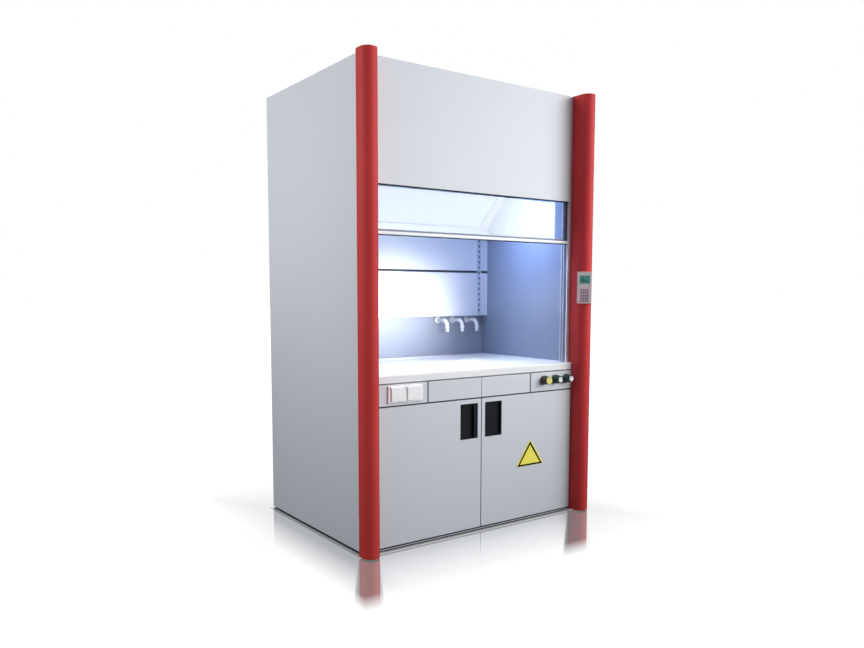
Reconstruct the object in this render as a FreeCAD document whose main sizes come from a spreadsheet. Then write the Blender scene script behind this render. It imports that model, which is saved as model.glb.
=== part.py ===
import FreeCAD, Part
import math
import os
import Sketcher

doc = FreeCAD.newDocument("fume_cupboard")
sheet = doc.addObject("Spreadsheet::Sheet", "dims")
sheet.Label = "driving dimensions"
nodes = []


class Size:
    """A length that knows both its number and its formula in the dimension sheet."""

    def __init__(self, value, text):
        self.value = value
        self.text = text

    def joined(self, other, sign, value, swapped=False):
        other_text = other.text if isinstance(other, Size) else repr(float(other))
        first, second = (other_text, self.text) if swapped else (self.text, other_text)
        return Size(value, f"({first} {sign} {second})")

    def __add__(self, other):
        return self.joined(other, "+", self.value + number(other))

    def __radd__(self, other):
        return self.joined(other, "+", number(other) + self.value, swapped=True)

    def __sub__(self, other):
        return self.joined(other, "-", self.value - number(other))

    def __rsub__(self, other):
        return self.joined(other, "-", number(other) - self.value, swapped=True)

    def __mul__(self, other):
        return self.joined(other, "*", self.value * number(other))

    def __truediv__(self, other):
        return self.joined(other, "/", self.value / number(other))

    def __neg__(self):
        return Size(-self.value, f"(0 - {self.text})")


def number(size):
    """The plain number of a size or of a number."""
    return size.value if isinstance(size, Size) else float(size)


def size(alias, value):
    """Write one driving dimension into the sheet and return it."""
    size.row += 1
    sheet.set(f"A{size.row}", alias)
    sheet.set(f"B{size.row}", str(value))
    sheet.setAlias(f"B{size.row}", alias)
    return Size(float(value), f"dims.{alias}")


size.row = 0


# Outer case
overall_width = size("overall_width", 1500)
overall_depth = size("overall_depth", 1146)
case_height = size("case_height", 2336)
column_width = size("column_width", 85)
column_depth = size("column_depth", 120)
column_side_depth = size("column_side_depth", 79)
column_wall = size("column_wall", 3)
column_foot = size("column_foot", 6)
controller_overhang = size("controller_overhang", 24.08)
side_setback = size("side_setback", 35)
side_thickness = size("side_thickness", 18)
sheet_thickness = size("sheet_thickness", 12)
panel_setback = size("panel_setback", 110)
panel_height = size("panel_height", 577)
panel_round = size("panel_round", 2.5)
profile_width = size("profile_width", 20)
roof_thickness = size("roof_thickness", 18)
rear_inset = size("rear_inset", 6)
spigot_radius = size("spigot_radius", 125)
spigot_wall = size("spigot_wall", 3)
spigot_height = size("spigot_height", 84)
spigot_flange = size("spigot_flange", 28)
spigot_setback = size("spigot_setback", 358)
spigot_gap = size("spigot_gap", 0.5)
foot_radius = size("foot_radius", 25)
foot_stem = size("foot_stem", 6)
foot_inset = size("foot_inset", 64)
foot_stem_rise = size("foot_stem_rise", 6)

# Base cabinet
door_setback = size("door_setback", 85)
door_thickness = size("door_thickness", 20)
door_bottom = size("door_bottom", 17)
fascia_row = size("fascia_row", 113)
door_gap = size("door_gap", 3)
door_round = size("door_round", 2)
pivot_inset = size("pivot_inset", 20)
pivot_radius = size("pivot_radius", 4)
pivot_depth = size("pivot_depth", 12)
pivot_clearance = size("pivot_clearance", 0.05)
washer_radius = size("washer_radius", 8)
washer_gap = size("washer_gap", 0.5)
plinth_top = size("plinth_top", 15)
plinth_bottom = size("plinth_bottom", 3)
carcass_thickness = size("carcass_thickness", 18)
floor_bottom = size("floor_bottom", 8)
shelf_drop = size("shelf_drop", 331)
shelf_front = size("shelf_front", 80)
rail_gap = size("rail_gap", 2)
rail_height = size("rail_height", 40)
rail_lip = size("rail_lip", 4)
rail_play = size("rail_play", 2)
handle_width = size("handle_width", 114)
handle_height = size("handle_height", 184)
handle_centre = size("handle_centre", 82)
handle_drop = size("handle_drop", 115)
handle_rim = size("handle_rim", 2.5)
handle_border = size("handle_border", 4)
handle_depth = size("handle_depth", 14)
handle_wall = size("handle_wall", 4)
handle_lip = size("handle_lip", 20)
handle_gap = size("handle_gap", 0.5)
handle_round = size("handle_round", 2)
plate_base = size("plate_base", 206)
plate_rise = size("plate_rise", 145)
plate_drop = size("plate_drop", 402)
plate_inset = size("plate_inset", 316)
plate_thickness = size("plate_thickness", 1.5)
plate_round = size("plate_round", 8)

# Fascia row
worktop_top = size("worktop_top", 856)
worktop_thickness = size("worktop_thickness", 40)
worktop_rim = size("worktop_rim", 20)
worktop_front_rim = size("worktop_front_rim", 70)
worktop_dish = size("worktop_dish", 7)
worktop_round = size("worktop_round", 5)
fascia_low_gap = size("fascia_low_gap", 6.5)
fascia_high_gap = size("fascia_high_gap", 3)
fascia_thickness = size("fascia_thickness", 12)
fascia_gap = size("fascia_gap", 3)
fascia_groove = size("fascia_groove", 10)
fascia_end = size("fascia_end", 319)
socket_inset = size("socket_inset", 182)
socket_width = size("socket_width", 200)
socket_rise = size("socket_rise", 21)
socket_height = size("socket_height", 82)
socket_thickness = size("socket_thickness", 8)
socket_well = size("socket_well", 21)
socket_well_depth = size("socket_well_depth", 5)
flap_width = size("flap_width", 76)
flap_spacing = size("flap_spacing", 94)
flap_margin = size("flap_margin", 7)
flap_thickness = size("flap_thickness", 7)
flap_height = size("flap_height", 65)
flap_gap = size("flap_gap", 0.6)
flap_pin = size("flap_pin", 1.5)
flap_ear = size("flap_ear", 5)
flap_ear_gap = size("flap_ear_gap", 0.5)
flap_ear_height = size("flap_ear_height", 10)
knob_inset = size("knob_inset", 134)
knob_pitch = size("knob_pitch", 86)
knob_rise = size("knob_rise", 67)
knob_radius = size("knob_radius", 25)
knob_nose = size("knob_nose", 21)
knob_length = size("knob_length", 40)
knob_gap = size("knob_gap", 4)
knob_flute = size("knob_flute", 5)
knob_bore_depth = size("knob_bore_depth", 28)
cap_thickness = size("cap_thickness", 4)
cap_wide = size("cap_wide", 20)
cap_narrow = size("cap_narrow", 14)
spindle_radius = size("spindle_radius", 5)
spindle_clearance = size("spindle_clearance", 0.05)
valve_radius = size("valve_radius", 15)
valve_length = size("valve_length", 60)
valve_hole_gap = size("valve_hole_gap", 3)
valve_seat = size("valve_seat", 1)
spindle_play = size("spindle_play", 2)

# Working chamber
liner_thickness = size("liner_thickness", 6)
liner_play = size("liner_play", 2)
service_depth = size("service_depth", 186)
ceiling_drop = size("ceiling_drop", 96)
baffle_stand = size("baffle_stand", 53)
baffle_thickness = size("baffle_thickness", 6)
baffle_clear = size("baffle_clear", 250)
kink_drop = size("kink_drop", 575)
baffle_gap = size("baffle_gap", 4)
baffle_slot = size("baffle_slot", 14)
slope_rise = size("slope_rise", 430)
slope_reach = size("slope_reach", 430)
slope_rail = size("slope_rail", 560)
upright_inset = size("upright_inset", 74)
upright_width = size("upright_width", 25)
upright_thickness = size("upright_thickness", 8)
slot_pitch = size("slot_pitch", 34)
slot_height = size("slot_height", 18)
slot_width = size("slot_width", 9)
lamp_inset = size("lamp_inset", 91)
lamp_width = size("lamp_width", 150)
lamp_height = size("lamp_height", 56)
lamp_setback = size("lamp_setback", 300)
lamp_gap = size("lamp_gap", 1)
lamp_seat = size("lamp_seat", 15)
outlet_inset = size("outlet_inset", 248)
outlet_pitch = size("outlet_pitch", 118)
outlet_rise = size("outlet_rise", 225)
outlet_tube = size("outlet_tube", 11)
outlet_reach = size("outlet_reach", 68)
outlet_bend = size("outlet_bend", 40)
outlet_collar = size("outlet_collar", 14)
outlet_collar_height = size("outlet_collar_height", 7)
outlet_barb = size("outlet_barb", 12)
outlet_barb_height = size("outlet_barb_height", 8)
outlet_flange = size("outlet_flange", 20)
barb_depth = size("barb_depth", 2.5)

# Sash
sash_clearance = size("sash_clearance", 6)
leaf_thickness = size("leaf_thickness", 12)
leaf_overlap = size("leaf_overlap", 6)
leaf_height = size("leaf_height", 600)
sash_headroom = size("sash_headroom", 38)
sash_spare = size("sash_spare", 155)
grip_height = size("grip_height", 16)
grip_reach = size("grip_reach", 18)
grip_gap = size("grip_gap", 3)
grip_round = size("grip_round", 4)
stile_width = size("stile_width", 44)
top_rail = size("top_rail", 30)
glass_thickness = size("glass_thickness", 5)
glass_bite = size("glass_bite", 8)
glass_gap = size("glass_gap", 0.5)
upper_leaf_offset = size("upper_leaf_offset", 26)
upper_leaf_thickness = size("upper_leaf_thickness", 10)
upper_leaf_rest = size("upper_leaf_rest", 3)
upper_leaf_height = size("upper_leaf_height", 360)
upper_rail = size("upper_rail", 24)
strip_width = size("strip_width", 40)
strip_thickness = size("strip_thickness", 6)
strip_gap = size("strip_gap", 0.5)
seal_width = size("seal_width", 16)
seal_overlap = size("seal_overlap", 10)
seal_thickness = size("seal_thickness", 5.5)
bracket_thickness = size("bracket_thickness", 3)
bracket_outset = size("bracket_outset", 5)
bracket_drop = size("bracket_drop", 25)
bracket_height = size("bracket_height", 60)
clamp_height = size("clamp_height", 30)
clamp_width = size("clamp_width", 24)
clamp_depth = size("clamp_depth", 12)
clamp_arm = size("clamp_arm", 30)
lug_bite = size("lug_bite", 2)
lug_reach = size("lug_reach", 7)
belt_gap = size("belt_gap", 0.3)
belt_width = size("belt_width", 15)
belt_thickness = size("belt_thickness", 3)
belt_offset = size("belt_offset", 7.5)
pulley_pitch = size("pulley_pitch", 20)
pulley_setback = size("pulley_setback", 85)
pulley_drop = size("pulley_drop", 46)
loop_length = size("loop_length", 940)
axle_radius = size("axle_radius", 4)
axle_clearance = size("axle_clearance", 0.05)
flange_radius = size("flange_radius", 22)
flange_thickness = size("flange_thickness", 1.5)
slit_width = size("slit_width", 8)
slit_margin = size("slit_margin", 20)
weight_width = size("weight_width", 55)
weight_thickness = size("weight_thickness", 40)
weight_length = size("weight_length", 470)
weight_drop = size("weight_drop", 715)
weight_setback = size("weight_setback", 20)

# Controller
controller_width = size("controller_width", 80)
controller_height = size("controller_height", 176)
controller_thickness = size("controller_thickness", 26)
controller_face = size("controller_face", 56)
controller_rise = size("controller_rise", 336)
display_width = size("display_width", 56)
display_height = size("display_height", 46)
display_bottom = size("display_bottom", 109)
keypad_width = size("keypad_width", 45)
keypad_height = size("keypad_height", 72)
keypad_bottom = size("keypad_bottom", 8)
inset_depth = size("inset_depth", 2)
controller_round = size("controller_round", 4)
controller_turn = size("controller_turn", 43)

doc.recompute()

# Places that follow from the sizes
half_width = overall_width / 2
front = controller_overhang - overall_depth / 2
back = overall_depth / 2
spigot_y = back - spigot_setback
column_in = half_width - column_width
column_middle = half_width - column_width / 2
nose_y = front + column_width / 2
column_back = front + column_depth
side_out = half_width - side_setback
side_in = side_out - side_thickness
panel_front = front + panel_setback
panel_back = panel_front + sheet_thickness
panel_half = column_in - profile_width
panel_bottom = case_height - panel_height
door_front = front + door_setback
door_back = door_front + door_thickness
door_half = column_in - door_gap
pivot_x = door_half - pivot_inset
pivot_y = door_front + door_thickness / 2
fascia_back = door_front + fascia_thickness
roof_bottom = case_height - roof_thickness
worktop_bottom = worktop_top - worktop_thickness
door_top = worktop_bottom - fascia_row
rear_front = back - rear_inset - sheet_thickness
base_half = column_in
foot_spread = base_half - foot_inset
front_feet_y = door_back + foot_inset
rear_feet_y = rear_front - foot_inset
shelf_height = door_top - shelf_drop
handle_middle = door_top - handle_drop
plate_x = base_half - plate_inset
plate_bottom = door_top - plate_drop
rail_bottom = door_top + rail_gap
rail_front = door_front + rail_play
rail_rear = column_back - rail_play
fascia_bottom = door_top + fascia_low_gap
fascia_top = worktop_bottom - fascia_high_gap
fascia_split = base_half - fascia_end
socket_x = socket_inset - base_half
socket_bottom = door_top + socket_rise
flap_bottom = socket_bottom + flap_margin
flap_pivot = flap_bottom + flap_height
knob_x = base_half - knob_inset
knob_z = door_top + knob_rise
chamber_half = side_in - liner_thickness
liner_back_y = rear_front - service_depth
ceiling_z = case_height - ceiling_drop
baffle_y = liner_back_y - baffle_stand
baffle_foot = worktop_top + baffle_clear
baffle_kink = ceiling_z - kink_drop
baffle_joint = (baffle_foot + baffle_kink) / 2
upright_x = chamber_half - upright_inset
lamp_y = front + lamp_setback
lamp_half = chamber_half - lamp_inset
outlet_x = chamber_half - outlet_inset
outlet_z = worktop_top + outlet_rise
leaf_top = roof_bottom - sash_headroom - sash_spare
leaf_bottom = leaf_top - leaf_height
leaf_half = column_in + leaf_overlap
grip_half = panel_half - grip_gap
leaf_front = column_back + sash_clearance
leaf_back = leaf_front + leaf_thickness
glass_front = leaf_front + (leaf_thickness - glass_thickness) / 2
upper_front = leaf_front + upper_leaf_offset
upper_back = upper_front + upper_leaf_thickness
strip_back = upper_front - strip_gap
rear_strip = upper_back + strip_gap
upper_leaf_bottom = panel_bottom + upper_leaf_rest
bracket_x = leaf_half + bracket_outset
bracket_top = leaf_top - bracket_drop
belt_x = bracket_x + belt_offset
pulley_top = case_height - pulley_drop
pulley_low = pulley_top - loop_length
slit_bottom = pulley_low + slit_margin
slit_top = pulley_top - slit_margin
weight_top = pulley_top - weight_drop
pulley_y = front + pulley_setback
rear_run = pulley_y + pulley_pitch
front_run = pulley_y - pulley_pitch
knob_back = door_front - knob_gap
controller_bottom = worktop_top + controller_rise


def node(thing, name):
    """Give a finished piece its name and remember it for the export."""
    thing.Label = name
    nodes.append(thing)
    return thing


def bind(thing, prop, value):
    """Tie one property to its formula, or set it where it is a plain number."""
    if isinstance(value, Size):
        thing.setExpression(prop, value.text)
    else:
        setattr(thing, prop, value)


def move(thing, x=0, y=0, z=0):
    """Place a piece; each coordinate may be a size."""
    base = FreeCAD.Vector(number(x), number(y), number(z))
    thing.Placement = FreeCAD.Placement(base, thing.Placement.Rotation)
    for letter, value in (("x", x), ("y", y), ("z", z)):
        if isinstance(value, Size):
            thing.setExpression(f"Placement.Base.{letter}", value.text)
    return thing


def block(x, y, z):
    """A box between three pairs of limits."""
    thing = doc.addObject("Part::Box", "block")
    for prop, limits in (("Length", x), ("Width", y), ("Height", z)):
        bind(thing, prop, limits[1] - limits[0])
    return move(thing, x[0], y[0], z[0])


def both_sides(limit):
    return (-limit, limit)


def cylinder(radius, length, axis, x, y, z):
    """A cylinder that starts at a point and runs along an axis."""
    thing = doc.addObject("Part::Cylinder", "cylinder")
    bind(thing, "Radius", radius)
    bind(thing, "Height", length)
    thing.Placement.Rotation = FreeCAD.Rotation(FreeCAD.Vector(0, 0, 1), axis)
    return move(thing, x, y, z)


def cut(base, *tools):
    tool = tools[0]
    if len(tools) > 1:
        tool = fuse(*tools)
    thing = doc.addObject("Part::Cut", "cut")
    thing.Base = base
    thing.Tool = tool
    return thing


def fuse(*parts):
    thing = doc.addObject("Part::MultiFuse", "fuse")
    thing.Shapes = list(parts)
    return thing


def mirrored(source):
    """The same piece on the other side of the middle plane."""
    thing = doc.addObject("Part::Mirroring", "mirror")
    thing.Source = source
    thing.Normal = FreeCAD.Vector(1, 0, 0)
    thing.Base = FreeCAD.Vector(0, 0, 0)
    return thing


def group(*parts):
    """Alike pieces kept in one file."""
    thing = doc.addObject("Part::Compound", "group")
    thing.Links = list(parts)
    return thing


def new_body(name):
    return doc.addObject("PartDesign::Body", name)


def new_sketch(body, plane, offset):
    """A sketch on one of the body's own origin planes, moved along its normal."""
    sketch = body.newObject("Sketcher::SketchObject", "sketch")
    origin = [item for item in body.Origin.OriginFeatures if item.Role == plane][0]
    sketch.AttachmentSupport = [(origin, "")]
    sketch.MapMode = "FlatFace"
    sketch.AttachmentOffset = FreeCAD.Placement(
        FreeCAD.Vector(0, 0, number(offset)), FreeCAD.Rotation())
    if isinstance(offset, Size):
        sketch.setExpression("AttachmentOffset.Base.z", offset.text)
    return sketch


def pin_point(sketch, edge, point, x, y):
    """Fix one point of the outline by its two coordinates."""
    for kind, value in (("DistanceX", x), ("DistanceY", y)):
        index = sketch.addConstraint(
            Sketcher.Constraint(kind, -1, 1, edge, point, number(value)))
        if isinstance(value, Size):
            sketch.setExpression(f"Constraints[{index}]", value.text)


def outline(body, plane, points, offset=0):
    """A closed outline through points given by their coordinates."""
    sketch = new_sketch(body, plane, offset)
    corners = [FreeCAD.Vector(number(x), number(y), 0) for x, y in points]
    count = len(corners)
    for index in range(count):
        sketch.addGeometry(Part.LineSegment(corners[index], corners[(index + 1) % count]))
    for index in range(count):
        after = (index + 1) % count
        sketch.addConstraint(Sketcher.Constraint("Coincident", index, 2, after, 1))
    for index, (x, y) in enumerate(points):
        pin_point(sketch, index, 1, x, y)
    return sketch


def rectangle(body, plane, x, y, offset=0):
    corners = [(x[0], y[0]), (x[1], y[0]), (x[1], y[1]), (x[0], y[1])]
    return outline(body, plane, corners, offset)


def disc(body, plane, x, y, radius, offset=0):
    """A round outline."""
    sketch = new_sketch(body, plane, offset)
    centre = FreeCAD.Vector(number(x), number(y), 0)
    sketch.addGeometry(Part.Circle(centre, FreeCAD.Vector(0, 0, 1), number(radius)))
    pin_point(sketch, 0, 3, x, y)
    index = sketch.addConstraint(Sketcher.Constraint("Radius", 0, number(radius)))
    if isinstance(radius, Size):
        sketch.setExpression(f"Constraints[{index}]", radius.text)
    return sketch


def pad(body, sketch, length):
    """Material from the sketch along its normal."""
    feature = body.newObject("PartDesign::Pad", "pad")
    feature.Profile = sketch
    bind(feature, "Length", length)
    return feature


def pocket(body, sketch, length):
    """A hollow from the sketch along its normal."""
    feature = body.newObject("PartDesign::Pocket", "pocket")
    feature.Profile = sketch
    bind(feature, "Length", length)
    feature.Reversed = True
    return feature


def turned(body, points):
    """A turned piece about the upright axis; points are radius and height."""
    sketch = outline(body, "XZ_Plane", points)
    feature = body.newObject("PartDesign::Revolution", "turned")
    feature.Profile = sketch
    feature.ReferenceAxis = (sketch, ["V_Axis"])
    feature.Angle = 360
    return feature


def edges_where(shape, test):
    """Names of the straight edges whose middle point passes a test."""
    names = []
    for index, edge in enumerate(shape.Edges):
        if edge.Curve.TypeId == "Part::GeomLine" and test(edge):
            names.append(f"Edge{index + 1}")
    return names


def runs_along(edge, axis):
    """True where an edge is parallel to an axis."""
    direction = edge.Vertexes[-1].Point - edge.Vertexes[0].Point
    return direction.Length > 0 and abs(direction.normalize().dot(axis)) > 0.999


def fillet(body, radius, test):
    """Round the edges of the body's tip that pass a test."""
    doc.recompute()
    base = body.Tip
    names = edges_where(base.Shape, test)
    feature = body.newObject("PartDesign::Fillet", "fillet")
    feature.Base = (base, names)
    bind(feature, "Radius", radius)
    return feature


X_AXIS = FreeCAD.Vector(1, 0, 0)
Y_AXIS = FreeCAD.Vector(0, 1, 0)
Z_AXIS = FreeCAD.Vector(0, 0, 1)


def make_columns():
    """Hollow front columns: a half-round nose, straight flanks and a step for the side panel."""
    length = case_height - column_foot
    body = new_body("column")
    pad(body, outline(body, "XY_Plane", [
        (column_in, nose_y), (half_width, nose_y), (half_width, front + column_side_depth),
        (side_out, front + column_side_depth), (side_out, column_back),
        (column_in, column_back)], column_foot), length)
    pad(body, disc(body, "XY_Plane", column_middle, nose_y, column_width / 2, column_foot),
        length)
    inner = column_wall
    pocket(body, outline(body, "XY_Plane", [
        (column_in + inner, nose_y), (half_width - inner, nose_y),
        (half_width - inner, front + column_side_depth - inner),
        (side_out - inner, front + column_side_depth - inner),
        (side_out - inner, column_back - inner),
        (column_in + inner, column_back - inner)], column_foot), length - column_wall)
    pocket(body, disc(body, "XY_Plane", column_middle, nose_y,
                      column_width / 2 - column_wall, column_foot), length - column_wall)
    slit = rectangle(body, "XY_Plane",
                     (bracket_x - slit_width / 2, bracket_x + slit_width / 2),
                     (column_back - column_wall - 1, column_back + 1), slit_bottom)
    pocket(body, slit, slit_top - slit_bottom)
    node(body, "column_right")
    node(mirrored(body), "column_left")


def make_case():
    """Side panels, rear panel, roof with its duct hole, front panel and duct collar."""
    side = block((side_in, side_out), (column_back, back), (column_foot, case_height))
    node(side, "side_panel_right")
    node(mirrored(side), "side_panel_left")
    node(block(both_sides(side_in), (rear_front, back - rear_inset),
               (column_foot, case_height)), "rear_panel")
    roof = block(both_sides(side_in), (panel_back, rear_front), (roof_bottom, case_height))
    hole = cylinder(spigot_radius + spigot_gap, roof_thickness + 2, Z_AXIS,
                    0, spigot_y, roof_bottom - 1)
    node(cut(roof, hole), "roof_panel")
    make_front_panel()
    collar = new_body("collar")
    low = ceiling_z
    high = case_height + spigot_height
    flange = case_height + spigot_wall
    outer = spigot_radius
    inner = spigot_radius - spigot_wall
    turned(collar, [(inner, low), (outer, low), (outer, case_height),
                    (outer + spigot_flange, case_height), (outer + spigot_flange, flange),
                    (outer, flange), (outer, high), (inner, high)])
    move(collar, 0, spigot_y, 0)
    node(collar, "exhaust_spigot")


def make_front_panel():
    """The fixed panel above the opening, a folded tray with a return at its lower edge."""
    body = new_body("front_panel")
    pad(body, rectangle(body, "XZ_Plane", both_sides(panel_half),
                        (panel_bottom, case_height), -panel_back), sheet_thickness)
    fillet(body, panel_round, lambda edge: runs_along(edge, X_AXIS)
           and edge.CenterOfMass.y < number(panel_front) + 0.1)
    node(body, "upper_front_panel")


def make_feet():
    """Six levelling feet, set in the floor of the base cabinet."""
    feet = []
    places = [(foot_spread * sign, y) for sign in (-1, 0, 1)
              for y in (front_feet_y, rear_feet_y)]
    for x, y in places:
        plate = cylinder(foot_radius, column_foot, Z_AXIS, x, y, 0)
        stem = cylinder(foot_stem, floor_bottom + carcass_thickness - column_foot + foot_stem_rise,
                        Z_AXIS, x, y, column_foot)
        feet.append(fuse(plate, stem))
    node(group(*feet), "levelling_feet")
    return places


def make_base(places):
    """The open carcass of the base cabinet."""
    floor = block(both_sides(base_half), (column_back, rear_front),
                  (floor_bottom, floor_bottom + carcass_thickness))
    holes = [cylinder(foot_stem, carcass_thickness + 2, Z_AXIS, x, y, floor_bottom - 1)
             for x, y in places]
    node(cut(floor, *holes), "base_floor")
    floor_top = floor_bottom + carcass_thickness
    side = block((base_half - carcass_thickness, base_half),
                 (column_back, rear_front), (floor_top, worktop_bottom))
    node(group(side, mirrored(side)), "base_sides")
    node(block(both_sides(base_half - carcass_thickness),
               (column_back + shelf_front, rear_front),
               (shelf_height, shelf_height + carcass_thickness)), "base_shelf")
    node(block(both_sides(base_half), (door_front, door_back),
               (plinth_bottom, plinth_top)), "plinth_rail")
    rail = new_body("rail")
    pad(rail, outline(rail, "YZ_Plane", [
        (rail_front, rail_bottom), (rail_rear, rail_bottom),
        (rail_rear, rail_bottom + rail_height),
        (fascia_back, rail_bottom + rail_height),
        (fascia_back, rail_bottom + rail_lip),
        (rail_front, rail_bottom + rail_lip)], -base_half), base_half * 2)
    node(rail, "base_top_rail")


def make_pivots():
    """Pivot pins with washers above and below each door."""
    low_washer = door_bottom - washer_gap - plinth_top
    high_washer = rail_bottom - door_top - washer_gap
    low = fuse(
        cylinder(washer_radius, low_washer, Z_AXIS, pivot_x, pivot_y, plinth_top),
        cylinder(pivot_radius, low_washer + washer_gap + pivot_depth, Z_AXIS,
                 pivot_x, pivot_y, plinth_top))
    high = fuse(
        cylinder(washer_radius, high_washer, Z_AXIS, pivot_x, pivot_y,
                 rail_bottom - high_washer),
        cylinder(pivot_radius, high_washer + washer_gap + pivot_depth, Z_AXIS,
                 pivot_x, pivot_y, door_top - pivot_depth))
    node(group(low, high, mirrored(low), mirrored(high)), "hinge_pivots")


def make_doors():
    """Flat doors with a pocket for the shell handle and blind pivot holes."""
    body = new_body("door")
    pad(body, rectangle(body, "XZ_Plane", (door_gap / 2, door_half),
                        (door_bottom, door_top), -door_back), door_thickness)
    fillet(body, door_round, lambda edge: edge.CenterOfMass.y < number(door_front) + 0.1)
    tray = handle_width / 2 - handle_border
    tall = handle_height / 2 - handle_border
    recess = rectangle(body, "XZ_Plane",
                       (handle_centre - tray - handle_gap, handle_centre + tray + handle_gap),
                       (handle_middle - tall - handle_gap, handle_middle + tall + handle_gap),
                       -door_front - handle_depth - handle_gap)
    pocket(body, recess, handle_depth + handle_gap)
    hole = pivot_radius + pivot_clearance
    deep = pivot_depth + washer_gap
    pocket(body, disc(body, "XY_Plane", pivot_x, pivot_y, hole, door_bottom), deep)
    pocket(body, disc(body, "XY_Plane", pivot_x, pivot_y, hole, door_top - deep), deep)
    node(body, "door_right")
    node(mirrored(body), "door_left")
    make_handles(tray, tall)


def make_handles(tray, tall):
    """Shell handles: a tray let into the door, with a lip to hook the fingers behind."""
    body = new_body("handle")
    face = door_front - handle_rim
    pad(body, rectangle(body, "XZ_Plane",
                        (handle_centre - handle_width / 2, handle_centre + handle_width / 2),
                        (handle_middle - handle_height / 2, handle_middle + handle_height / 2),
                        -door_front), handle_rim)
    fillet(body, handle_round, lambda edge: edge.CenterOfMass.y < number(face) + 0.1)
    pad(body, rectangle(body, "XZ_Plane",
                        (handle_centre - tray, handle_centre + tray),
                        (handle_middle - tall, handle_middle + tall),
                        -door_front - handle_depth), handle_depth)
    inside = tray - handle_wall
    high = tall - handle_wall
    floor = -door_front - handle_depth + handle_wall
    pocket(body, rectangle(body, "XZ_Plane",
                           (handle_centre - inside + handle_lip, handle_centre + inside),
                           (handle_middle - high, handle_middle + high), floor),
           handle_depth - handle_wall + handle_rim + 1)
    pocket(body, rectangle(body, "XZ_Plane",
                           (handle_centre - inside, handle_centre - inside + handle_lip),
                           (handle_middle - high, handle_middle + high), floor),
           handle_depth - handle_wall)
    node(body, "handle_right")
    node(mirrored(body), "handle_left")


def make_warning_plate():
    """A plain triangular plate on the right door."""
    body = new_body("plate")
    pad(body, outline(body, "XZ_Plane", [
        (plate_x - plate_base / 2, plate_bottom), (plate_x + plate_base / 2, plate_bottom),
        (plate_x, plate_bottom + plate_rise)], -door_front), plate_thickness)
    fillet(body, plate_round, lambda edge: runs_along(edge, Y_AXIS))
    node(body, "warning_plate")


def make_worktop():
    """The worktop: wide behind the columns, narrow between them, with a dished surface."""
    body = new_body("worktop")
    wide = side_in
    rear = liner_back_y + liner_thickness
    pad(body, outline(body, "XY_Plane", [
        (-base_half, door_front), (base_half, door_front),
        (base_half, column_back), (wide, column_back),
        (wide, rear), (-wide, rear), (-wide, column_back),
        (-base_half, column_back)], worktop_bottom),
        worktop_top - worktop_bottom)
    dish = chamber_half - worktop_rim
    pocket(body, rectangle(body, "XY_Plane", both_sides(dish),
                           (door_front + worktop_front_rim, liner_back_y - worktop_rim),
                           worktop_top - worktop_dish), worktop_dish + 1)
    fillet(body, worktop_round, lambda edge: runs_along(edge, X_AXIS)
           and edge.CenterOfMass.y < number(door_front) + 0.1)
    node(body, "worktop")


def make_fascia():
    """Panels between the doors and the worktop."""
    depth = (door_front, fascia_back)
    tall = (fascia_bottom, fascia_top)
    half_groove = fascia_groove / 2
    node(block((-base_half, -fascia_split - half_groove), depth, tall), "fascia_left")
    blank = block((fascia_gap / 2, fascia_split - half_groove), depth, tall)
    node(group(blank, mirrored(blank)), "fascia_blanks")
    panel = block((fascia_split + half_groove, base_half), depth, tall)
    holes = [cylinder(spindle_radius + valve_hole_gap, fascia_thickness + 2, Y_AXIS,
                      knob_x + knob_pitch * step, door_front - 1, knob_z)
             for step in (-1, 0, 1)]
    node(cut(panel, *holes), "fascia_right")


def make_sockets():
    """A double socket plate whose two wells have sprung flaps."""
    face = door_front - socket_thickness
    plate = block((socket_x - socket_width / 2, socket_x + socket_width / 2),
                  (face, door_front), (socket_bottom, socket_bottom + socket_height))
    wells = []
    ears = []
    pin_y = face - flap_gap - flap_thickness / 2
    ear_hole = flap_pin + spindle_clearance
    for side in (-1, 1):
        middle = socket_x + flap_spacing / 2 * side
        wells.append(cylinder(socket_well, socket_well_depth + 1, Y_AXIS, middle, face - 1,
                              (flap_bottom + flap_pivot) / 2))
        for edge in (-1, 1):
            inner = middle + (flap_width / 2 + flap_ear_gap) * edge
            limits = (inner, inner + flap_ear) if edge > 0 else (inner - flap_ear, inner)
            ear = block(limits, (pin_y - flap_thickness / 2, face),
                        (flap_pivot - flap_ear_height / 2, flap_pivot + flap_ear_height / 2))
            hole = cylinder(ear_hole, flap_ear + 2, X_AXIS, limits[0] - 1, pin_y, flap_pivot)
            ears.append(cut(ear, hole))
        node(make_flap(middle, pin_y), "socket_flap_left" if side < 0 else "socket_flap_right")
    node(fuse(cut(plate, *wells), *ears), "socket_frame")


def make_flap(middle, pin_y):
    """One flap: a plate rounded about its hinge line, with a stub pin at each end."""
    half = flap_width / 2
    plate = block((middle - half, middle + half),
                  (pin_y - flap_thickness / 2, pin_y + flap_thickness / 2),
                  (flap_bottom, flap_pivot))
    roll = cylinder(flap_thickness / 2, flap_width, X_AXIS, middle - half, pin_y, flap_pivot)
    reach = flap_ear_gap + flap_ear
    pin = cylinder(flap_pin, flap_width + reach * 2, X_AXIS, middle - half - reach,
                   pin_y, flap_pivot)
    return fuse(plate, roll, pin)


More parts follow.
